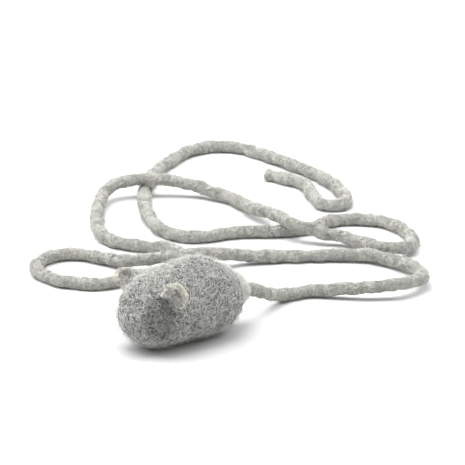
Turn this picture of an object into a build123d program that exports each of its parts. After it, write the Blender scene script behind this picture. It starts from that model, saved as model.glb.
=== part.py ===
from build123d import *
import os
from math import cos, pi, radians, sin, tan

# A felted wool toy mouse: a hollow felt skin packed with loose wool, two cupped felt ears on
# soft root hinges, a felted nose nub and a long felted wool rope for a tail.
# The nose points along -Y, the belly rests on Z = 0, and the origin is under the middle of the body.

# Driving dimensions, millimetres
BODY_LENGTH = 70.0
BODY_RADIUS = 20.0
AXIS_HEIGHT = 18.6  # less than the radius, because the belly is pressed flat
WIDEST_STATION = 7.0  # behind the middle
NOSE_FULLNESS = 0.85  # how blunt the nose is, as a share of the radius
RUMP_FULLNESS = 0.68
CHEEK_STATION = -18.0  # where the nose's curve has turned along the body
HAUNCH_STATION = 24.0
FELT_WALL = 4.0
CLEARANCE = 0.05

EAR_STATION = -18.6  # how far along the body the ears stand
EAR_POSITION = 31.0  # degrees round the body, above the horizontal
EAR_RISE = 47.0  # degrees above the horizontal that the flap points
EAR_ROOT_RADIUS = 18.4  # from the body's axis to the root line
EAR_FLARE = 16.0  # degrees that the body widens towards the rear at the ears
EAR_WIDTH = 12.0
EAR_THICKNESS = 2.4
# The ears are felted on by hand and differ: which side each is on, the degrees that its root line
# drops towards the rear, and its height
EARS = {"ear_left": (1, 46.0, 12.0), "ear_right": (-1, 0.0, 9.5)}
EAR_GROOVE_CLEARANCE = 0.1

NOSE_RADIUS = 4.2  # of the ball that the nub is a cap of
NOSE_STATION = -30.7  # of the ball's middle
NOSE_OFFSET = 6.0  # the hand-felted nub sits a little to the mouse's left
NOSE_LIFT = 2.1  # above the body's axis

TAIL_DIAMETER = 6.0
TAIL_DROP = 2.0  # below the body's axis
KNOT_RADIUS = 5.0
KNOT_STATION = 20.0
TUFT_RADIUS = 6.0
TUFT_REACH = 5.0  # how far the pale tuft stands out behind the rump

AXIS_PLANE = Plane.XY.offset(AXIS_HEIGHT)
BODY_AXIS = Axis((0, 0, AXIS_HEIGHT), (0, 1, 0))
RUMP = BODY_LENGTH / 2
TAIL_RADIUS = TAIL_DIAMETER / 2
TAIL_HEIGHT = AXIS_HEIGHT - TAIL_DROP
TAIL_PLANE = Plane(origin=(0, RUMP, TAIL_HEIGHT), x_dir=(1, 0, 0), z_dir=(0, 1, 0))
TAIL_AXIS = Axis((0, 0, TAIL_HEIGHT), (0, 1, 0))

# The tail's route: it leaves the rump, comes down to the floor and lies in loose loops. The two
# points of each hump stand at its top, one each side of the stretch of tail that it passes over.
LIE = TAIL_RADIUS  # the height of the rope's middle where it lies on the floor
HUMP = 2.5 * TAIL_DIAMETER
TAIL_ROUTE = (
    # down from the rump and out to the right-hand fold
    (0, RUMP, TAIL_HEIGHT), (0, 44, TAIL_HEIGHT), (-1, 53, 12.5), (-5, 63, 7.5), (-10, 76, LIE),
    (-5, 92, LIE), (9, 102, 4), (20, 113, 5), (27, 126, 5), (23, 142, 5), (9, 151, 4), (-9, 153, LIE),
    (-28, 149, LIE),
    # back past the rump, over the tail's own second pass
    (-42, 133, LIE), (-56, 115, LIE), (-67, 97, 6), (-71, 79, HUMP), (-79, 62, HUMP), (-95, 50, 5),
    # the small loop beside the head
    (-114, 46, LIE), (-130, 41, LIE), (-134, 25, LIE), (-125, 10, LIE), (-108, 5, LIE),
    (-91, 10, LIE), (-80, 23, LIE), (-82, 39, LIE),
    # the hidden turn under the hump, then the wide sweep to the far side
    (-77, 55, LIE), (-79, 72, LIE), (-91, 83, LIE), (-106, 81, LIE), (-120, 70, LIE),
    (-137, 67, LIE), (-155, 78, LIE), (-172, 92, LIE), (-188, 108, 5), (-192, 124, HUMP),
    (-178, 145, HUMP), (-162, 157, 6), (-141, 161, LIE), (-118, 153, 6), (-96, 148, HUMP),
    (-75, 142, HUMP), (-59, 155, 6), (-42, 161, 4), (-25, 156, 6),
    # the rear loop, coming back under the hump
    (-18, 169, 5), (-30, 185, LIE), (-52, 195, LIE), (-72, 191, LIE), (-83, 175, LIE),
    (-78, 157, LIE), (-88, 139, LIE), (-102, 125, LIE), (-104, 106, LIE), (-120, 96, LIE),
    # the outer loop, which passes under the first hump on the far side
    (-141, 103, LIE), (-165, 118, LIE), (-187, 138, LIE), (-205, 160, LIE), (-217, 184, LIE),
    (-223, 206, LIE), (-211, 223, LIE), (-189, 224, LIE), (-161, 223, LIE), (-134, 220, LIE),
    # the last fold and the blunt end
    (-113, 211, LIE), (-96, 200, LIE), (-103, 187, LIE), (-118, 195, LIE), (-136, 206, LIE),
    (-147, 205, LIE), (-157, 203, LIE),
)
RUN_SHARE = 0.45  # how much of the shorter run beside a corner its arc takes up


def egg_form(inset):
    """The body's form drawn in by inset all round and cut flat inset above the belly."""
    radius = BODY_RADIUS - inset
    end = BODY_LENGTH / 2 - inset
    with BuildPart() as egg:
        with BuildSketch(AXIS_PLANE):
            with BuildLine():
                widest = (radius, WIDEST_STATION)
                Bezier((0, -end), (NOSE_FULLNESS * radius, -end), (radius, CHEEK_STATION), widest)
                Bezier(widest, (radius, HAUNCH_STATION), (RUMP_FULLNESS * radius, end), (0, end))
                Line((0, end), (0, -end))
            make_face()
        revolve(axis=BODY_AXIS)
        split(bisect_by=Plane.XY.offset(inset), keep=Keep.TOP)
    return egg.part


def ear_plane(side, drop):
    """The plane of an ear: local X runs along its root line and local Y up its flap."""
    position, rise, skew, flare = (radians(a) for a in (EAR_POSITION, EAR_RISE, drop, EAR_FLARE))
    outward = Vector(side * cos(position), 0, sin(position))
    down = Vector(side * sin(position), 0, -cos(position))
    rearward = Vector(0, cos(flare), 0) + outward * sin(flare)
    root = Vector(0, EAR_STATION, AXIS_HEIGHT) + outward * EAR_ROOT_RADIUS
    along = rearward * cos(skew) + down * sin(skew)
    flap = Vector(side * cos(rise), 0, sin(rise))
    return Plane(origin=root, x_dir=along, z_dir=along.cross(flap))


def ear_part(side, drop, height):
    """A felt flap with a round root bead, which turns in its groove in the skin."""
    half = EAR_WIDTH / 2
    shoulder = height * 0.5
    bead = EAR_THICKNESS / 2
    with BuildPart() as ear:
        with BuildSketch(ear_plane(side, drop)):
            with BuildLine():
                rim = Spline(
                    (half, 0),
                    (half * 0.94, shoulder),
                    (0, height),
                    (-half * 0.94, shoulder),
                    (-half, 0),
                )
                Line(rim @ 1, rim @ 0)
            make_face()
        extrude(amount=bead, both=True)
        with Locations(ear_plane(side, drop)):
            Cylinder(radius=bead, height=EAR_WIDTH, rotation=(0, 90, 0))
    return ear.part


def corner_radii(route):
    """The largest tangent arc that each corner of the route has room for."""
    radii = []
    for before, corner, after in zip(route, route[1:], route[2:]):
        run_in, run_out = Vector(*corner) - Vector(*before), Vector(*after) - Vector(*corner)
        half_turn = radians(run_in.get_angle(run_out)) / 2
        radii.append(RUN_SHARE * min(run_in.length, run_out.length) / tan(half_turn))
    return radii


os.makedirs("parts", exist_ok=True)

outer_form = egg_form(0)
clear_form = egg_form(-CLEARANCE)
cavity_form = egg_form(FELT_WALL)
core_form = egg_form(FELT_WALL + CLEARANCE)

# The felt skin, open at the rump for the tail and grooved for the two ear roots
with BuildPart() as body_felt:
    add(outer_form)
    add(cavity_form, mode=Mode.SUBTRACT)
    with BuildSketch(TAIL_PLANE):
        Circle(TAIL_RADIUS + CLEARANCE)
    extrude(amount=-2 * FELT_WALL, mode=Mode.SUBTRACT)
    for side, drop, _ in EARS.values():
        with Locations(ear_plane(side, drop)):
            Cylinder(
                radius=EAR_THICKNESS / 2 + EAR_GROOVE_CLEARANCE,
                height=EAR_WIDTH + 2 * EAR_GROOVE_CLEARANCE,
                rotation=(0, 90, 0),
                mode=Mode.SUBTRACT,
            )

# The loose wool inside, with the room that the tail's knot takes up
with BuildPart() as wool_core:
    add(core_form)
    with BuildSketch(TAIL_PLANE):
        Circle(TAIL_RADIUS + CLEARANCE)
    extrude(amount=KNOT_STATION - RUMP, mode=Mode.SUBTRACT)
    with Locations((0, KNOT_STATION, TAIL_HEIGHT)):
        Sphere(KNOT_RADIUS + CLEARANCE, mode=Mode.SUBTRACT)

# The tail's near end, tied in a knot that can't pull out through the skin
with BuildPart() as tail_knot:
    with BuildSketch(TAIL_PLANE):
        Circle(TAIL_RADIUS)
    extrude(amount=KNOT_STATION - RUMP)
    with Locations((0, KNOT_STATION, TAIL_HEIGHT)):
        Sphere(KNOT_RADIUS)

# The collar of loose pale wool that covers the hole where the tail leaves
with BuildPart() as tail_tuft:
    with BuildSketch(Plane.XY.offset(TAIL_HEIGHT)):
        with BuildLine():
            inner = TAIL_RADIUS + CLEARANCE
            Polyline((inner, RUMP - FELT_WALL), (inner, RUMP + TUFT_REACH))
            Spline(
                (inner, RUMP + TUFT_REACH),
                (TUFT_RADIUS, RUMP + TUFT_REACH * 0.35),
                (TUFT_RADIUS, RUMP - FELT_WALL),
                tangents=((1, 0), (0, -1)),
            )
            Line((TUFT_RADIUS, RUMP - FELT_WALL), (inner, RUMP - FELT_WALL))
        make_face()
    revolve(axis=TAIL_AXIS)
    add(clear_form, mode=Mode.SUBTRACT)

# The nose: a low felted button that fits the blunt end of the body
with BuildPart() as nose_nub:
    with Locations((NOSE_OFFSET, NOSE_STATION, AXIS_HEIGHT + NOSE_LIFT)):
        Sphere(NOSE_RADIUS)
    add(clear_form, mode=Mode.SUBTRACT)

# The tail: straight runs joined by tangent arcs
radii = corner_radii(TAIL_ROUTE)
with BuildPart() as tail_rope:
    with BuildLine():
        route = FilletPolyline(*TAIL_ROUTE, radius=radii)
    with BuildSketch(Plane(origin=route @ 0, z_dir=route % 0)):
        Circle(TAIL_RADIUS)
    sweep(path=route)

print("tail length", round(route.length, 1), "mm")
tail_fill = tail_rope.part.volume / (pi * TAIL_RADIUS**2 * route.length)
print("tail volume over section times length", round(tail_fill, 4))
print("tail radii", [round(r, 1) for r in radii], "smallest", round(min(radii), 1))

named_parts = {
    "body_felt": body_felt.part,
    "wool_core": wool_core.part,
    **{name: ear_part(*ear) for name, ear in EARS.items()},
    "nose_nub": nose_nub.part,
    "tail_knot": tail_knot.part,
    "tail_tuft": tail_tuft.part,
    "tail_rope": tail_rope.part,
}
for name, part in named_parts.items():
    part.label = name
    export_step(part, f"parts/{name}.step")
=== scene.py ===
import math

import bmesh
import bpy
import numpy as np
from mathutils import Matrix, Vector, noise
from mathutils.bvhtree import BVHTree


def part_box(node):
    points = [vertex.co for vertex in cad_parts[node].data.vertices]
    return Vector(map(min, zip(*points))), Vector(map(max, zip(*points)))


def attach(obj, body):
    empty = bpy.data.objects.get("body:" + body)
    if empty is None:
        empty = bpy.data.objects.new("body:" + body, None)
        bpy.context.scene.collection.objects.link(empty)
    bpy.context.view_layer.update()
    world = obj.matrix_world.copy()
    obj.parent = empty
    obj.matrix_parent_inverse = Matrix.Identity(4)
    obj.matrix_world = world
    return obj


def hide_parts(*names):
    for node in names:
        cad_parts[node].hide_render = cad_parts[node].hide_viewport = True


# A hand-felted grey wool toy mouse: a plump felt body, two cupped felt ears, a nose nub, a tuft of
# pale wool at the rump and a very long felted rope for a tail, which lies in loose loops.
# Everything is in metres in the row frame: the nose points along -Y and the belly rests on Z = 0.

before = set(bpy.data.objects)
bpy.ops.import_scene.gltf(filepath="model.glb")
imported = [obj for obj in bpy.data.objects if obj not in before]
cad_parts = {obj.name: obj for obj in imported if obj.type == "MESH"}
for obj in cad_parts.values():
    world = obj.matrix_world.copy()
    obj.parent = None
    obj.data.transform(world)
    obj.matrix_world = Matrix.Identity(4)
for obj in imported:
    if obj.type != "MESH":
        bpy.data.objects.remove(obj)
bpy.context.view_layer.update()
MM = 0.001

body_low, body_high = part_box("body_felt")
RADIUS = (body_high[0] - body_low[0]) / 2
END = 0.035  # how far the nose and the rump are from the body's middle
AXIS_HEIGHT = body_high[2] - RADIUS
WIDEST_STATION = 7 * MM
CHEEK_STATION = -18 * MM  # where the nose's curve has turned along the body
HAUNCH_STATION = 24 * MM
NOSE_FULLNESS = 0.85  # how blunt the nose is, as a share of the radius
RUMP_FULLNESS = 0.68
TAIL_HEIGHT = AXIS_HEIGHT - 2 * MM

scene = bpy.context.scene


# ---------------------------------------------------------------- camera, light and floor

def aim(location, target):
    """The rotation that points a camera or a light from location at target."""
    return (Vector(target) - Vector(location)).to_track_quat("-Z", "Y").to_euler()


CAMERA_AZIMUTH = math.radians(48.5)
CAMERA_ELEVATION = math.radians(18.2)
CAMERA_DISTANCE = 3.0
CAMERA_TARGET = Vector((0.0088, 0.0261, 0.0512))
camera_back = Vector((
    math.sin(CAMERA_AZIMUTH) * math.cos(CAMERA_ELEVATION),
    -math.cos(CAMERA_AZIMUTH) * math.cos(CAMERA_ELEVATION),
    math.sin(CAMERA_ELEVATION),
))
camera_data = bpy.data.cameras.new("camera")
camera_data.lens = 476
camera_data.sensor_width = 36
camera_data.clip_start = 0.1
camera_data.clip_end = 30
camera = bpy.data.objects.new("camera", camera_data)
camera.location = CAMERA_TARGET + camera_back * CAMERA_DISTANCE
camera.rotation_euler = aim(camera.location, CAMERA_TARGET)
scene.collection.objects.link(camera)
scene.camera = camera


def area_light(name, location, target, size, watts):
    """A soft square studio lamp that shines from location at target."""
    data = bpy.data.lights.new(name, "AREA")
    data.size = size
    data.energy = watts
    lamp = bpy.data.objects.new(name, data)
    lamp.location = location
    lamp.rotation_euler = aim(location, target)
    scene.collection.objects.link(lamp)


area_light("overhead_light", (-0.5, 0.0, 2.0), (0, 0.05, 0), 1.8, 60)
area_light("left_light", (-1.35, -0.8, 1.1), (0, 0.05, 0), 1.1, 18)
area_light("right_light", (0.6, 1.5, 1.5), (0, 0.05, 0), 1.4, 19)

WORLD_STRENGTH = 0.68
DIMMED_STRENGTH = WORLD_STRENGTH * 0.6


def studio_world():
    """A white tent, less bright on the side where the photographer stands."""
    world = bpy.data.worlds.new("studio")
    world.use_nodes = True
    tree = world.node_tree
    background = tree.nodes["Background"]
    background.inputs["Color"].default_value = (1, 1, 1, 1)
    direction = tree.nodes.new("ShaderNodeTexCoord").outputs["Generated"]
    towards = tree.nodes.new("ShaderNodeVectorMath")
    towards.operation = "DOT_PRODUCT"
    towards.inputs[1].default_value = (math.sin(CAMERA_AZIMUTH), -math.cos(CAMERA_AZIMUTH), 0.0)
    tree.links.new(direction, towards.inputs[0])
    dimmed = tree.nodes.new("ShaderNodeMapRange")
    dimmed.interpolation_type = "SMOOTHSTEP"
    for socket, value in zip(range(1, 5), (-0.15, 0.75, WORLD_STRENGTH, DIMMED_STRENGTH)):
        dimmed.inputs[socket].default_value = value
    tree.links.new(towards.outputs["Value"], dimmed.inputs["Value"])
    tree.links.new(dimmed.outputs[0], background.inputs["Strength"])
    return world


scene.world = studio_world()
scene.view_settings.view_transform = "Standard"
scene.view_settings.look = "None"


# ---------------------------------------------------------------- mesh and material helpers

def link_mesh(name, vertices, faces, material, smooth=True):
    """A mesh object from arrays of points and of faces, with a smooth surface facing outwards."""
    mesh = bpy.data.meshes.new(name)
    mesh.from_pydata([tuple(v) for v in vertices], [], [tuple(f) for f in faces])
    mesh.validate()
    if smooth:
        shell = bmesh.new()
        shell.from_mesh(mesh)
        bmesh.ops.remove_doubles(shell, verts=shell.verts, dist=0.001 * MM)
        bmesh.ops.recalc_face_normals(shell, faces=shell.faces)
        shell.to_mesh(mesh)
        shell.free()
    mesh.polygons.foreach_set("use_smooth", [smooth] * len(mesh.polygons))
    mesh.materials.append(material)
    piece = bpy.data.objects.new(name, mesh)
    scene.collection.objects.link(piece)
    return piece


def lumps(point, size, seed):
    """Smooth noise from -1 to 1 whose lumps are about size metres across."""
    return noise.noise(Vector(point) / size + Vector((seed, seed * 1.7, seed * 2.3)))


def grid_faces(rings, sides, closed=True):
    """Quads between rings of sides points each, joined round when closed."""
    faces = []
    for i in range(rings - 1):
        for j in range(sides if closed else sides - 1):
            k = (j + 1) % sides
            faces.append((i * sides + j, i * sides + k, (i + 1) * sides + k, (i + 1) * sides + j))
    return faces


class Nodes:
    """Short calls that add shader nodes to one material."""

    def __init__(self, name):
        self.material = bpy.data.materials.new(name)
        self.material.use_nodes = True
        self.tree = self.material.node_tree
        self.shader = self.tree.nodes["Principled BSDF"]
        self.place = self.tree.nodes.new("ShaderNodeTexCoord").outputs["Object"]

    def add(self, kind, inputs=(), **settings):
        """A node with these settings, and with inputs set or linked by name or number."""
        node = self.tree.nodes.new(kind)
        for key, value in settings.items():
            setattr(node, key, value)
        for key, value in dict(inputs).items():
            if isinstance(value, bpy.types.NodeSocket):
                self.tree.links.new(value, node.inputs[key])
            else:
                node.inputs[key].default_value = value
        return node

    def noise(self, size, detail=2.0, distortion=0.0, offset=0.0):
        """Noise with features of about size metres."""
        moved = self.add("ShaderNodeVectorMath", {0: self.place, 1: (offset, offset * 2, offset * 3)})
        inputs = {"Vector": moved.outputs[0], "Scale": 1 / size, "Detail": detail, "Distortion": distortion}
        return self.add("ShaderNodeTexNoise", inputs).outputs["Fac"]

    def maths(self, operation, a, b=0.0, clamp=False):
        node = self.add("ShaderNodeMath", {0: a, 1: b}, operation=operation)
        node.use_clamp = clamp
        return node.outputs[0]

    def ramp(self, value, low, high, out_low=0.0, out_high=1.0):
        inputs = {"Value": value, 1: low, 2: high, 3: out_low, 4: out_high}
        return self.add("ShaderNodeMapRange", inputs, interpolation_type="SMOOTHSTEP").outputs[0]

    def mix(self, factor, a, b, blend="MIX"):
        a, b = ((*c, 1.0) if isinstance(c, tuple) else c for c in (a, b))
        node = self.add("ShaderNodeMix", {0: factor, 6: a, 7: b}, data_type="RGBA", blend_type=blend)
        return node.outputs[2]

    def painted_head_shade(self, colour, share):
        """The colour darkened to share of itself by painted shade on the left of the head, below the left
        ear.
        """
        middle = tuple(c * MM for c in (14, -25.5, 19))
        tallness = (1, 1, 0.55)
        away = self.add("ShaderNodeVectorMath", {0: self.place, 1: middle}, operation="SUBTRACT")
        eased = self.add("ShaderNodeVectorMath", {0: away.outputs[0], 1: tallness}, operation="MULTIPLY")
        gap = self.add("ShaderNodeVectorMath", {0: eased.outputs[0]}, operation="LENGTH").outputs["Value"]
        darkened = self.mix(1.0, colour, (share,) * 3, "MULTIPLY")
        return self.mix(self.ramp(gap, 5 * MM, 9 * MM, 1.0, 0.0), colour, darkened)

    def strands(self, size, width, offset):
        """Curly lines: 1 along the level lines of a noise, falling to 0 beside them."""
        level = self.maths("SUBTRACT", self.noise(size, 1.0, 1.2, offset), 0.5)
        return self.ramp(self.maths("ABSOLUTE", level), 0.0, width, 1.0, 0.0)


def felt(name, base, light, dark, grain=1.0, warm=None, relief=0.35, head=1.0):
    """Felted wool: a base shade with mottling, and curly light and dark fibres over it.

    warm tints some patches, and head is how dark the painted shade on the left of the head makes the felt
    beside the rest.
    """
    n = Nodes(name)
    mottle = n.noise(9 * MM, 3.0, 0.4, 0.3)
    small = n.noise(2.2 * MM, 3.0, 0.6, 1.1)
    paler, deeper = (tuple(share * c for c in base) for share in (1.10, 0.90))
    shade = n.mix(n.ramp(mottle, 0.35, 0.68), deeper, paler)
    shade = n.mix(n.ramp(small, 0.3, 0.7), n.mix(1.0, shade, (0.86, 0.86, 0.86), "MULTIPLY"), shade)
    fine, coarse = n.strands(1.1 * MM * grain, 0.045, 2.0), n.strands(1.6 * MM * grain, 0.035, 5.0)
    dark_lines = n.maths("MAXIMUM", fine, coarse)
    fine, coarse = n.strands(1.0 * MM * grain, 0.04, 3.0), n.strands(1.4 * MM * grain, 0.035, 7.0)
    light_lines = n.maths("MAXIMUM", fine, coarse)
    colour = n.mix(n.maths("MULTIPLY", dark_lines, 0.55), shade, dark)
    colour = n.mix(n.maths("MULTIPLY", light_lines, 0.7), colour, light)
    if warm:
        patches = n.ramp(n.noise(16 * MM, 2.0, 0.8, 4.4), 0.45, 0.72, 0.0, 0.55)
        colour = n.mix(patches, colour, n.mix(1.0, colour, warm, "MULTIPLY"))
    # Painted shade on the left of the head, below the left ear
    if head < 1:
        colour = n.painted_head_shade(colour, head)
    n.tree.links.new(colour, n.shader.inputs["Base Color"])
    rough = n.ramp(small, 0.2, 0.8, 0.88, 1.0)
    n.tree.links.new(rough, n.shader.inputs["Roughness"])
    n.shader.inputs["Specular IOR Level"].default_value = 0.15
    n.shader.inputs["Sheen Weight"].default_value = 0.25
    n.shader.inputs["Sheen Roughness"].default_value = 0.6
    height = n.maths("ADD", light_lines, n.maths("MULTIPLY", small, 0.8))
    height = n.maths("SUBTRACT", height, n.maths("MULTIPLY", dark_lines, 0.5))
    bump = n.add("ShaderNodeBump", {"Height": height, "Strength": relief, "Distance": 0.4 * MM})
    n.tree.links.new(bump.outputs[0], n.shader.inputs["Normal"])
    return n.material


def fibre_wool(name, colour, spread=0.25, patch=11, depth=0.16, head=1.0):
    """Single wool fibres of shades up to spread from a colour, and up to depth darker in patches.

    patch is about how many millimetres across the patches are.
    """
    n = Nodes(name)
    low, high = (tuple(min(1.0, k * c) for c in colour) for k in (1 - spread, 1 + spread))
    shade = n.mix(n.ramp(n.noise(1.3 * MM, 2.0, 0.0, 6.0), 0.3, 0.7), low, high)
    broad = n.ramp(n.noise(patch * MM, 2.0, 0.5, 9.0), 0.3, 0.7, 1 - depth, 1 + 0.75 * depth)
    grey = n.add("ShaderNodeCombineColor", {0: broad, 1: broad, 2: broad})
    shade = n.mix(1.0, shade, grey.outputs[0], "MULTIPLY")
    # Painted shade on the left of the head, below the left ear
    if head < 1:
        shade = n.painted_head_shade(shade, head)
    n.tree.links.new(shade, n.shader.inputs["Base Color"])
    n.tree.links.new(n.ramp(broad, 0.7, 1.3, 0.85, 0.98), n.shader.inputs["Roughness"])
    n.shader.inputs["Specular IOR Level"].default_value = 0.2
    n.shader.inputs["Sheen Weight"].default_value = 0.15
    return n.material


# Each felt has a base, a light and a dark shade, as linear colours
# head darkens the felt with painted shade on the left of the head, below the left ear
GREY = felt(
    "grey_felt", (0.225, 0.227, 0.216), (0.58, 0.58, 0.555), (0.08, 0.08, 0.08),
    warm=(1.0, 0.985, 0.93), head=0.5,
)
ROPE = felt(
    "rope_felt", (0.415, 0.415, 0.393), (0.55, 0.545, 0.50), (0.35, 0.35, 0.34),
    grain=1.3, warm=(1.0, 0.98, 0.90), relief=0.2,
)
NOSE = felt("nose_felt", (0.29, 0.29, 0.28), (0.62, 0.62, 0.59), (0.12, 0.12, 0.12))
PALE = felt(
    "pale_wool", (0.56, 0.56, 0.515), (0.8, 0.79, 0.73), (0.45, 0.45, 0.41),
    grain=1.2, warm=(1.0, 0.985, 0.9),
)
STUFFING = felt("core_wool", (0.6, 0.58, 0.52), (0.85, 0.82, 0.75), (0.3, 0.28, 0.25), grain=1.6)

# head darkens these fibres with painted shade on the left of the head, below the left ear
LIGHT_FIBRE = fibre_wool("light_fibre", (0.64, 0.645, 0.615), spread=0.12, depth=0.08, head=0.7)
MID_FIBRE = fibre_wool("mid_fibre", (0.28, 0.282, 0.268), spread=0.2, depth=0.08, head=0.52)
DARK_FIBRE = fibre_wool("dark_fibre", (0.08, 0.08, 0.08), spread=0.2, depth=0.08, head=0.52)
ROPE_LIGHT_FIBRE = fibre_wool("rope_light_fibre", (0.54, 0.535, 0.49), spread=0.12, patch=5, depth=0.2)
ROPE_MID_FIBRE = fibre_wool("rope_mid_fibre", (0.46, 0.46, 0.43), spread=0.15, patch=5, depth=0.22)
ROPE_DARK_FIBRE = fibre_wool("rope_dark_fibre", (0.37, 0.37, 0.355), spread=0.15, patch=5, depth=0.22)
CREAM_FIBRE = fibre_wool("cream_fibre", (0.64, 0.62, 0.54), spread=0.1)
LILAC_FIBRE = fibre_wool("lilac_fibre", (0.54, 0.54, 0.53), spread=0.15)
PALE_FIBRE = fibre_wool("pale_fibre", (0.78, 0.78, 0.715), spread=0.06)


# ---------------------------------------------------------------- the tail, a rope of felted wool

# The route of the rope's middle in millimetres, from the rump to its blunt end
LIE = 3
OVER = 9.2
TAIL_ROUTE = (
    (0, 35, 16.6), (0, 44, 16.6), (-1, 53, 12.5), (-5, 63, 7.5), (-10, 76, LIE), (-5, 92, LIE), (9, 102, 5),
    (20, 113, 7), (27, 126, 7), (23, 142, 6), (9, 151, 5), (-9, 153, 4), (-28, 149, 4),
    (-42, 133, LIE), (-56, 115, LIE), (-67, 97, 5), (-71, 79, OVER), (-79, 62, OVER), (-95, 50, 5),
    (-114, 46, LIE), (-130, 41, LIE), (-134, 25, LIE), (-125, 10, LIE), (-108, 5, LIE),
    (-91, 10, LIE), (-80, 23, LIE), (-82, 39, LIE),
    (-77, 55, LIE), (-79, 72, LIE), (-91, 83, LIE), (-106, 81, LIE), (-120, 70, LIE),
    (-137, 67, LIE), (-155, 78, LIE), (-172, 92, LIE), (-188, 108, 5), (-192, 124, OVER),
    (-178, 145, OVER), (-162, 157, 5), (-141, 161, LIE), (-118, 153, 5), (-96, 148, OVER),
    (-75, 142, OVER), (-59, 155, 5), (-42, 161, 4), (-25, 156, 6),
    (-18, 169, 5), (-30, 185, LIE), (-52, 195, LIE), (-72, 191, LIE), (-83, 175, LIE),
    (-78, 157, LIE), (-88, 139, LIE), (-102, 125, LIE), (-104, 106, LIE), (-120, 96, LIE),
    (-141, 103, LIE), (-165, 118, LIE), (-187, 138, LIE), (-205, 160, LIE), (-217, 184, LIE),
    (-223, 206, LIE), (-211, 223, LIE), (-189, 224, LIE), (-161, 223, LIE), (-134, 220, LIE),
    (-113, 211, LIE), (-96, 200, LIE), (-103, 187, LIE), (-118, 195, LIE), (-136, 206, LIE),
    (-147, 205, LIE), (-163, 201.5, LIE),
)


def smooth_line(route):
    """The points of the smooth curve that the route controls, in metres."""
    data = bpy.data.curves.new("route", "CURVE")
    data.dimensions = "3D"
    spline = data.splines.new("NURBS")
    spline.points.add(len(route) - 1)
    for point, place in zip(spline.points, route):
        point.co = (*(c * MM for c in place), 1.0)
    spline.order_u = 3
    spline.use_endpoint_u = True
    spline.resolution_u = 14
    data.resolution_u = 14
    line = bpy.data.objects.new("route", data)
    scene.collection.objects.link(line)
    mesh = bpy.data.meshes.new_from_object(line)
    points = np.array([v.co for v in mesh.vertices])
    bpy.data.objects.remove(line)
    bpy.data.meshes.remove(mesh)
    return points


def even_steps(points, step):
    """The same line at even steps along it, and its length."""
    legs = np.linalg.norm(np.diff(points, axis=0), axis=1)
    along = np.concatenate([[0], np.cumsum(legs)])
    stations = np.linspace(0, along[-1], int(along[-1] / step) + 1)
    return np.stack([np.interp(stations, along, points[:, i]) for i in range(3)], 1), along[-1]


def rope_mesh(name, points, radius, sides, material, seed, round_ends):
    """A lumpy felted rope round the points. Each end listed in round_ends closes in a blunt dome."""
    count = len(points)
    tangents = np.gradient(points, axis=0)
    tangents /= np.linalg.norm(tangents, axis=1)[:, None]
    side = np.cross(tangents[0], (0.0, 0.0, 1.0))
    side /= np.linalg.norm(side)
    step = np.linalg.norm(points[1] - points[0])
    vertices = []
    for i in range(count):
        side = side - tangents[i] * side.dot(tangents[i])
        side /= np.linalg.norm(side)
        up = np.cross(side, tangents[i])
        station = i * step
        swell = 1 + 0.17 * noise.noise((station / (10 * MM), seed, 0))
        swell += 0.12 * noise.noise((station / (4.5 * MM), seed, 5))
        sway = 1.1 * MM * noise.noise((station / (9 * MM), seed, 9)) * side
        sway = sway + 0.5 * MM * noise.noise((station / (10 * MM), seed, 19)) * up
        from_start = station if "start" in round_ends else 1
        from_end = (count - 1 - i) * step if "end" in round_ends else 1
        left = min(from_start, from_end)
        dome = math.sqrt(max(0.0, 1 - max(0.0, 1 - left / (0.9 * radius)) ** 2))
        for j in range(sides):
            angle = 2 * math.pi * j / sides
            out = side * math.cos(angle) + up * math.sin(angle)
            place = points[i] + sway + out * radius
            bulge = 0.14 * lumps(place, 5 * MM, seed) + 0.06 * lumps(place, 2 * MM, seed + 3)
            bulge += 0.03 * lumps(place, 0.9 * MM, seed + 5)
            place = points[i] + sway + out * radius * dome * (swell + bulge)
            place[2] = max(place[2], 0.05 * MM)
            vertices.append(place)
    faces = grid_faces(count, sides)
    faces.append(tuple(reversed(range(sides))))
    faces.append(tuple((count - 1) * sides + j for j in range(sides)))
    return link_mesh(name, vertices, faces, material)


line = smooth_line(TAIL_ROUTE)
tail_points, tail_length = even_steps(line, 0.8 * MM)
tail = rope_mesh("tail_rope_felt", tail_points, 2.95 * MM, 28, ROPE, 2.0, ("end",))


# ---------------------------------------------------------------- loose fibres over the felt

def surface_tree(piece):
    """A search tree that finds the nearest place on a piece."""
    mesh = piece.data
    return BVHTree.FromPolygons([v.co for v in mesh.vertices], [p.vertices for p in mesh.polygons])


def scatter(piece, count, rng, wanted=None):
    """Random places on a mesh, spread over its area evenly or as wanted weighs it, with their normals."""
    mesh = piece.data
    mesh.calc_loop_triangles()
    places = np.array([v.co for v in mesh.vertices])
    corners = places[np.array([t.vertices for t in mesh.loop_triangles])]
    normals = np.cross(corners[:, 1] - corners[:, 0], corners[:, 2] - corners[:, 0])
    areas = np.linalg.norm(normals, axis=1)
    if wanted is not None:
        areas = areas * wanted(corners.mean(1))
    picks = rng.choice(len(areas), count, p=areas / areas.sum())
    a, b = np.sqrt(rng.random(count)), rng.random(count)
    weights = np.stack([1 - a, a * (1 - b), a * b], 1)
    unit = normals[picks] / np.maximum(np.linalg.norm(normals[picks], axis=1), 1e-12)[:, None]
    return (corners[picks] * weights[:, :, None]).sum(1), unit


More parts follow.
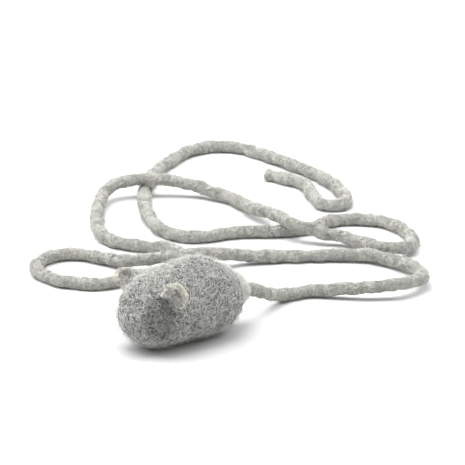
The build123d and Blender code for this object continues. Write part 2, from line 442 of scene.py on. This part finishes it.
def fibres(name, piece, material, count, length, width, lift, curl, seed, body, segments=5, wanted=None):
    """Wool fibres that wander over a piece and stand up from it by about lift in the middle.

    length, width and lift are in millimetres, and curl is how much a fibre turns at each step.
    wanted weighs places by how many fibres start there, and without it they start evenly all over.
    """
    length, width, lift = length * MM, width * MM, lift * MM
    rng = np.random.default_rng(seed)
    tree = surface_tree(piece)
    starts, normals = scatter(piece, count, rng, wanted)
    lengths = length * rng.uniform(0.5, 1.4, count)
    widths = width * rng.uniform(0.65, 1.3, count)
    lifts = lift * rng.uniform(0.1, 1.0, count) ** 1.5
    turns = curl * rng.normal(0, 1, count)
    vertices, faces = [], []
    for i in range(count):
        place, normal = Vector(starts[i]), Vector(normals[i])
        heading = Vector(rng.normal(0, 1, 3))
        heading = (heading - normal * heading.dot(normal)).normalized()
        step = lengths[i] / segments
        turn = turns[i]
        first = len(vertices)
        for k in range(segments + 1):
            t = k / segments
            across = normal.cross(heading)
            wide = across * (widths[i] / 2 * (0.35 + 0.65 * math.sin(math.pi * (0.1 + 0.8 * t))))
            raised = place + normal * (lifts[i] * math.sin(math.pi * min(1.0, 0.12 + t * 0.9)) - 0.02 * MM)
            top = raised + normal * widths[i] * 0.45
            for v in (raised - wide, top, raised + wide):
                vertices.append((v.x, v.y, max(v.z, 0.03 * MM)))
            turn += rng.normal(0, 0.35 * curl)
            heading = (heading * math.cos(turn) + across * math.sin(turn)).normalized()
            place, near_normal, _, _ = tree.find_nearest(place + heading * step)
            if near_normal.dot(normal) > 0.2:
                normal = (normal + near_normal).normalized()
            heading = (heading - normal * heading.dot(normal)).normalized()
        for k in range(segments):
            a = first + 3 * k
            faces.append((a, a + 3, a + 4, a + 1))
            faces.append((a + 1, a + 4, a + 5, a + 2))
    made = link_mesh(name, vertices, faces, material, smooth=False)
    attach(made, body)
    return made


# ---------------------------------------------------------------- the body

def bezier(a, b, c, d, t):
    """The place at share t of the cubic curve that the four points control."""
    weights = ((1 - t) ** 3, 3 * (1 - t) ** 2 * t, 3 * (1 - t) * t * t, t ** 3)
    return tuple(sum(w * value for w, value in zip(weights, values)) for values in zip(a, b, c, d))


def outline(inset, steps):
    """The body's outline from the nose to the rump as (radius, station) pairs."""
    r, e = RADIUS - inset, END - inset
    widest = (r, WIDEST_STATION)
    to_widest = ((0, -e), (NOSE_FULLNESS * r, -e), (r, CHEEK_STATION), widest)
    to_rump = (widest, (r, HAUNCH_STATION), (RUMP_FULLNESS * r, e), (0, e))
    front = [bezier(*to_widest, i / steps) for i in range(steps)]
    rear = [bezier(*to_rump, i / steps) for i in range(steps + 1)]
    return front + rear


def hand_shaped(y, angle):
    """How far the hand-felted body stands proud of its outline, at a station and an angle round it."""
    def bump(value, middle, spread):
        return math.exp(-(((value - middle) / spread) ** 2))

    around = math.degrees(math.atan2(math.sin(angle), abs(math.cos(angle))))
    y /= MM
    under, over, beside = bump(around, -58, 26), bump(around, 75, 40), bump(around, -15, 38)
    throat, neck, middle = bump(y, -24, 5), bump(y, -20.8, 3.2), bump(y, 0, 14)
    hump, rump = bump(y, 9, 9), bump(y, 27, 6)
    proud = 0.5 * under * throat - 1.7 * under * middle
    proud += over * (0.7 * hump - 0.9 * rump)
    proud -= 1.2 * beside * neck
    return proud * MM


def crease(place):
    """How deep the felt is creased at a place.

    The creases are under the left ear, under the nub and two on the left flank. Each has its ends, its
    depth and its width in millimetres.
    """
    depth = 0.0
    for start, end, most, wide in (
        ((13.2, -23.0, 28.6), (16.0, -20.8, 24.4), 1.5, 2.0),
        ((5.0, -34.0, 18.7), (10.4, -31.2, 19.1), 1.1, 1.0),
        ((19, 7, 15), (17, 11, 8), 1.1, 1.3),
        ((16, 16, 13), (14, 19, 7), 0.8, 1.3),
    ):
        start, end = Vector(start) * MM, Vector(end) * MM
        run = end - start
        along = max(0.0, min(1.0, (place - start).dot(run) / run.length_squared))
        gap = (place - start - run * along).length
        depth += most * MM * math.exp(-((gap / (wide * MM)) ** 2))
    return depth


def egg(name, inset, steps, sides, material, relief, belly):
    """The body's form, lumpy by relief and pressed flat at the height belly."""
    vertices = []
    outline_length = 70 * MM * 1.3
    pairs, _ = even_steps(np.array([(r, y, 0) for r, y in outline(inset, 60)]), outline_length / steps)
    for r, y, _ in pairs:
        for j in range(sides):
            angle = 2 * math.pi * j / sides
            place = Vector((r * math.cos(angle), y, AXIS_HEIGHT + r * math.sin(angle)))
            out = Vector((math.cos(angle) * r, y * 0.35, math.sin(angle) * r)).normalized()
            rise = 0.9 * lumps(place, 17 * MM, 1) + 0.45 * lumps(place, 7 * MM, 2)
            rise += 0.12 * lumps(place, 2.6 * MM, 3)
            rise += 0.06 * lumps(place, 1.1 * MM, 4)
            place += out * ((rise - 0.6) * relief - crease(place) + hand_shaped(y, angle))
            place.z = max(belly, place.z)
            vertices.append(place)
    return link_mesh(name, vertices, grid_faces(len(pairs), sides), material)


skin = egg("body_skin", 0.0, 230, 260, GREY, 0.8 * MM, 0.0)
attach(skin, "mouse")
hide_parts("body_felt")

stuffing = egg("body_stuffing", 4.5 * MM, 60, 72, STUFFING, 0.6 * MM, 4.5 * MM)
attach(stuffing, "mouse")
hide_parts("wool_core")

knot_points = np.array([(0, y * MM, TAIL_HEIGHT) for y in np.linspace(14.5, 34.6, 40)])
knot = rope_mesh("tail_knot_felt", knot_points, 2.9 * MM, 24, ROPE, 7.0, ("start",))
KNOT_STATION = 20 * MM
KNOT_HALF_LENGTH = 5.2 * MM
for v in knot.data.vertices:
    swollen = 1 + 0.62 * max(0.0, 1 - ((v.co.y - KNOT_STATION) / KNOT_HALF_LENGTH) ** 2)
    v.co.x *= swollen
    v.co.z = TAIL_HEIGHT + (v.co.z - TAIL_HEIGHT) * swollen
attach(knot, "mouse")
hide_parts("tail_knot")

for label, material, count, seed, width in (
    ("dark", DARK_FIBRE, 5500, 11, 0.24),
    ("mid", MID_FIBRE, 8000, 12, 0.28),
    ("light", LIGHT_FIBRE, 8000, 13, 0.29),
):
    coat = fibres("body_coat_" + label, skin, material, count, 4.8, width, 0.45, 0.38, seed, "mouse")
flyaway = fibres("body_flyaway", skin, LIGHT_FIBRE, 6000, 5.0, 0.15, 2.4, 0.5, 14, "mouse", segments=7)


# ---------------------------------------------------------------- the nose nub

def blob(name, centre, axes, radii, material, relief, seed, steps=40, sides=56):
    """A lumpy rounded button with its own three axes and radii."""
    vertices = []
    for i in range(steps + 1):
        for j in range(sides):
            a, b = math.pi * i / steps, 2 * math.pi * j / sides
            local = (math.sin(a) * math.cos(b), math.sin(a) * math.sin(b), math.cos(a))
            offset = sum((axis * (c * r) for axis, c, r in zip(axes, local, radii)), Vector())
            rise = lumps(centre + offset, 3 * MM, seed) + 0.5 * lumps(centre + offset, 1.2 * MM, seed + 2)
            vertices.append(centre + offset * (1 + relief * rise))
    return link_mesh(name, vertices, grid_faces(steps + 1, sides), material)


facing = Vector((0.36, -0.92, 0.12)).normalized()
nose_middle = Vector((7.0 * MM, -33.4 * MM, AXIS_HEIGHT + 2.4 * MM)) + facing * 0.3 * MM
nose_radii = (3.8 * MM, 2.4 * MM, 3.0 * MM)
level = facing.cross(Vector((0, 0, 1))).normalized()
upright = level.cross(facing).normalized()
nub = blob("nose_nub_felt", nose_middle, (level, upright, facing), nose_radii, NOSE, 0.10, 8)
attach(nub, "mouse")
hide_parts("nose_nub")
for label, material, count, seed in (
    ("dark", DARK_FIBRE, 50, 21),
    ("mid", MID_FIBRE, 130, 23),
    ("light", LIGHT_FIBRE, 190, 22),
):
    coat = fibres("nose_coat_" + label, nub, material, count, 2.8, 0.3, 0.3, 0.6, seed, "mouse")


# ---------------------------------------------------------------- the ears

EAR_STATION = -18.6 * MM
EAR_ROOT_RADIUS = 18.2 * MM
EAR_FLARE = math.radians(16)
EAR_POSITION = math.radians(31)  # round the body, above the horizontal
EAR_RISE = math.radians(47)  # above the horizontal that the flap points

# In millimetres. The free edge is narrower than the root line, and the rim's cream fades inwards
EAR_HALF_WIDTH = 6.0
EAR_NARROWING = 0.5
RIM_WIDTH = 3.0


def ear_axes(side, skew):
    """The ear's root point, and the directions along its root line, up its flap and out of its hollow.

    Both hollows face the mouse's left, because the right ear is felted over the other way.
    """
    outward = Vector((side * math.cos(EAR_POSITION), 0, math.sin(EAR_POSITION)))
    down = Vector((side * math.sin(EAR_POSITION), 0, -math.cos(EAR_POSITION)))
    rearward = Vector((0, math.cos(EAR_FLARE), 0)) + outward * math.sin(EAR_FLARE)
    root = Vector((0, EAR_STATION, AXIS_HEIGHT)) + outward * EAR_ROOT_RADIUS
    along = (rearward * math.cos(skew) + down * math.sin(skew)).normalized()
    flap = Vector((side * math.cos(EAR_RISE), 0, math.sin(EAR_RISE)))
    flap = (flap - along * flap.dot(along)).normalized()
    hollow = along.cross(flap)
    return root, along, flap, hollow


def rimness(local, along, flap, lean, crest):
    """How near places, given from the ear's root, are to its rim: 1 on it and 0 inside its width."""
    a, f = local @ np.array(along) / MM, local @ np.array(flap) / MM
    edge_half_width = EAR_HALF_WIDTH - EAR_NARROWING
    top = np.interp((a - lean) / edge_half_width, np.linspace(-1, 1, len(crest)), crest)
    v = np.clip(f / top, 0, 1)
    from_rear = EAR_HALF_WIDTH - EAR_NARROWING * v - (a - lean * v)
    # The front side shows less of the cream, so its distance is taken from beyond the edge
    from_front = EAR_HALF_WIDTH + 1.5 - (lean * v - a)
    from_side = np.where(a > lean * v, from_rear, from_front)
    return np.clip(1 - np.minimum(top - f, from_side) / RIM_WIDTH, 0, 1)


def ear_mesh(name, side, skew, lean, crest, fold, material, seed):
    """A cupped felt flap, whose free edge leans along the root line and is crest high.

    fold is the deepest line of its hollow: its two ends along and up the flap, and its depth. These
    and the crest's heights, which run from front to rear, are in millimetres.
    """
    root, along, flap, hollow = ear_axes(side, skew)
    across_count, up_count = 17, 13
    fold_start, fold_end = (Vector(end).to_3d() for end in fold[:2])
    depth = fold[2]
    run = fold_end - fold_start
    vertices = []
    for i in range(up_count):
        v = i / (up_count - 1)
        for j in range(across_count):
            u = 2 * j / (across_count - 1) - 1
            top = float(np.interp(u, np.linspace(-1, 1, len(crest)), crest))
            top += 0.45 * lumps((u * 6, side * 3, seed), 2.6, seed)
            a = (EAR_HALF_WIDTH - EAR_NARROWING * v) * u + lean * v
            foot = -1.5 + 1.6 * math.exp(-(((u + 0.45) / 0.4) ** 2))
            f = foot + (top - foot) * v
            place = Vector((a, f, 0))
            share = max(0.0, min(1.0, (place - fold_start).dot(run) / run.length_squared))
            gap = (place - fold_start - run * share).length
            cupped = 1.0 if u > 0 else 0.3
            z = 0.3 + 0.5 * v ** 3 + cupped * u * u * v
            z -= depth * math.exp(-((gap / 1.4) ** 2))
            z += 0.3 * lumps((u, v, seed), 0.7, seed)
            vertices.append(root + (along * a + flap * f + hollow * z) * MM)
    faces = grid_faces(up_count, across_count, closed=False)
    base = link_mesh(name + "_base", vertices, faces, material)
    thicken = base.modifiers.new("thicken", "SOLIDIFY")
    thicken.thickness = 2.1 * MM
    thicken.offset = 0
    rounding = base.modifiers.new("rounding", "SUBSURF")
    rounding.levels = 3
    rounding.render_levels = 3
    graph = bpy.context.evaluated_depsgraph_get()
    mesh = bpy.data.meshes.new_from_object(base.evaluated_get(graph))
    bpy.data.objects.remove(base)
    mesh.name = name
    rims = [float(rimness(np.array(v.co - root), along, flap, lean, crest)) for v in mesh.vertices]
    for v, normal in zip(mesh.vertices, [n.vector.copy() for n in mesh.vertex_normals]):
        rise_by = 0.35 * lumps(v.co, 3 * MM, seed) + 0.2 * lumps(v.co, 1.2 * MM, seed + 2)
        v.co += normal * rise_by * 0.8 * MM
    mesh.attributes.new("rim", "FLOAT", "POINT").data.foreach_set("value", rims)
    mesh.polygons.foreach_set("use_smooth", [True] * len(mesh.polygons))
    piece = bpy.data.objects.new(name, mesh)
    scene.collection.objects.link(piece)
    return piece


def rim_felt():
    """The ears' felt: grey in the hollow and beige to cream along the rim."""
    material = felt(
        "ear_rim_felt", (0.58, 0.57, 0.54), (0.8, 0.78, 0.70), (0.34, 0.34, 0.33),
        grain=0.9, warm=(1.0, 0.97, 0.88), relief=0.25,
    )
    hollow_tint, rim_tint = (0.92, 0.915, 0.90, 1), (1.18, 1.155, 1.04, 1)
    tree = material.node_tree
    shader = tree.nodes["Principled BSDF"]
    source = shader.inputs["Base Color"].links[0].from_socket
    reader = tree.nodes.new("ShaderNodeAttribute")
    reader.attribute_name = "rim"
    ranged = tree.nodes.new("ShaderNodeMapRange")
    ranged.interpolation_type = "SMOOTHSTEP"
    ranged.inputs[1].default_value = 0.0
    ranged.inputs[2].default_value = 0.75
    tree.links.new(reader.outputs["Fac"], ranged.inputs["Value"])
    tint = tree.nodes.new("ShaderNodeMix")
    tint.data_type = "RGBA"
    tint.inputs[6].default_value = hollow_tint
    tint.inputs[7].default_value = rim_tint
    tree.links.new(ranged.outputs[0], tint.inputs[0])
    painted = tree.nodes.new("ShaderNodeMix")
    painted.data_type = "RGBA"
    painted.blend_type = "MULTIPLY"
    painted.inputs[0].default_value = 1.0
    tree.links.new(source, painted.inputs[6])
    tree.links.new(tint.outputs[2], painted.inputs[7])
    tree.links.new(painted.outputs[2], shader.inputs["Base Color"])
    return material


EAR_RIM = rim_felt()


def rim_only(side, skew, lean, crest):
    """The weight that puts an ear's fibres mostly along its rim."""
    root, along, flap, _ = ear_axes(side, skew)

    def wanted(places):
        return 0.02 + rimness(places - np.array(root), along, flap, lean, crest) ** 1.5

    return wanted


EARS = (
    ("left", "left_ear", 1, 46, -1.3, (8.6, 11.2, 11.4, 10.4, 9.0), ((-2.2, 8.8), (3.9, 3.2), 2.3)),
    ("right", "right_ear", -1, 0, -1.0, (7.0, 9.0, 9.6, 9.0, 7.0), ((-1.2, 6.3), (0.8, 6.0), 0.8)),
)
for name, body, side, skew, lean, crest, fold in EARS:
    form = (side, math.radians(skew), lean, crest)
    ear = ear_mesh("ear_" + name + "_felt", *form, fold, EAR_RIM, seed=30 + side)
    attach(ear, body)
    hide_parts("ear_" + name)
    for label, material, count, width, place in (
        ("dark", DARK_FIBRE, 110, 0.2, None),
        ("mid", MID_FIBRE, 300, 0.24, None),
        ("light", LILAC_FIBRE, 600, 0.26, None),
        ("rim", CREAM_FIBRE, 1100, 0.32, rim_only(*form)),
    ):
        coat = fibres(
            "ear_" + name + "_" + label, ear, material, count, 3.0, width, 0.4, 0.6,
            40 + side + len(label), body, wanted=place,
        )


# ---------------------------------------------------------------- the tuft at the tail's root

TUFT_HEIGHT = TAIL_HEIGHT + 2.8 * MM
TUFT_END_HEIGHT = TAIL_HEIGHT + 0.3 * MM
TUFT_CLOSES_FROM = 34.5  # the station in millimetres from which it slides down to the tail
TUFT_CLOSES_OVER = 3.0


def tuft_mesh():
    """A soft collar of pale wool, high on the rump, that closes round the tail where it leaves."""
    profile = ((4.9, 31.5), (4.6, 34.0), (4.3, 35.4), (4.0, 36.4), (3.6, 37.4), (3.1, 38.2), (2.5, 38.7))
    sides = 60
    line_points, _ = even_steps(np.array([(r * MM, y * MM, 0) for r, y in profile]), 0.35 * MM)
    vertices = []
    for r, y, _ in line_points:
        closing = min(max((y / MM - TUFT_CLOSES_FROM) / TUFT_CLOSES_OVER, 0.0), 1.0)
        height = TUFT_HEIGHT + (TUFT_END_HEIGHT - TUFT_HEIGHT) * closing
        for j in range(sides):
            angle = 2 * math.pi * j / sides
            out = Vector((math.cos(angle), 0, math.sin(angle)))
            place = Vector((0, y, height)) + out * r
            rise = 1.0 * lumps(place, 4 * MM, 51) + 0.5 * lumps(place, 1.6 * MM, 52)
            ragged = 1.2 * MM * lumps(out * 4 * MM, 2.2 * MM, 53)
            vertices.append(place + out * rise * 0.8 * MM + Vector((0, ragged, 0)))
    return link_mesh("tail_tuft_wool", vertices, grid_faces(len(line_points), sides), PALE)


tuft = tuft_mesh()
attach(tuft, "mouse")
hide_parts("tail_tuft")
tuft_coats = [
    fibres("tail_tuft_strands", tuft, PALE_FIBRE, 1500, 4.6, 0.22, 2.0, 0.5, 61, "mouse"),
    fibres("tail_tuft_wisps", tuft, PALE_FIBRE, 5000, 6.0, 0.11, 4.4, 0.6, 62, "mouse", segments=7),
]


# ---------------------------------------------------------------- the tail's fibres

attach(tail, "mouse")
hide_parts("tail_rope")
for label, material, count, seed, width in (
    ("dark", ROPE_DARK_FIBRE, 6000, 71, 0.33),
    ("mid", ROPE_MID_FIBRE, 8000, 72, 0.36),
    ("light", ROPE_LIGHT_FIBRE, 9000, 73, 0.32),
):
    coat = fibres("tail_coat_" + label, tail, material, count, 4.2, width, 0.35, 0.45, seed, "mouse")
wisps = fibres("tail_flyaway", tail, ROPE_LIGHT_FIBRE, 7500, 4.2, 0.12, 1.6, 0.5, 74, "mouse", segments=6)


# ---------------------------------------------------------------- the floor

def floor_material():
    """A pale floor that turns white in the studio's light, and glows a little far from the mouse."""
    n = Nodes("white_floor")
    tone = n.ramp(n.noise(0.4, 3.0, 0.0, 2.0), 0.3, 0.7, 0.64, 0.66)
    colour = n.add("ShaderNodeCombineColor", {0: tone, 1: tone, 2: tone})
    n.tree.links.new(colour.outputs[0], n.shader.inputs["Base Color"])
    n.shader.inputs["Roughness"].default_value = 0.8
    n.shader.inputs["Specular IOR Level"].default_value = 0.1
    away = n.add("ShaderNodeVectorMath", {0: n.place}, operation="LENGTH").outputs["Value"]
    n.shader.inputs["Emission Color"].default_value = (1, 1, 1, 1)
    n.tree.links.new(n.ramp(away, 0.8, 2.2, 0.0, 0.6), n.shader.inputs["Emission Strength"])
    return n.material


FLOOR_REACH = 9
floor_corners = [(x * FLOOR_REACH, y * FLOOR_REACH, 0) for x, y in ((-1, -1), (1, -1), (1, 1), (-1, 1))]
floor = link_mesh("floor", floor_corners, [(0, 1, 2, 3)], floor_material(), smooth=False)
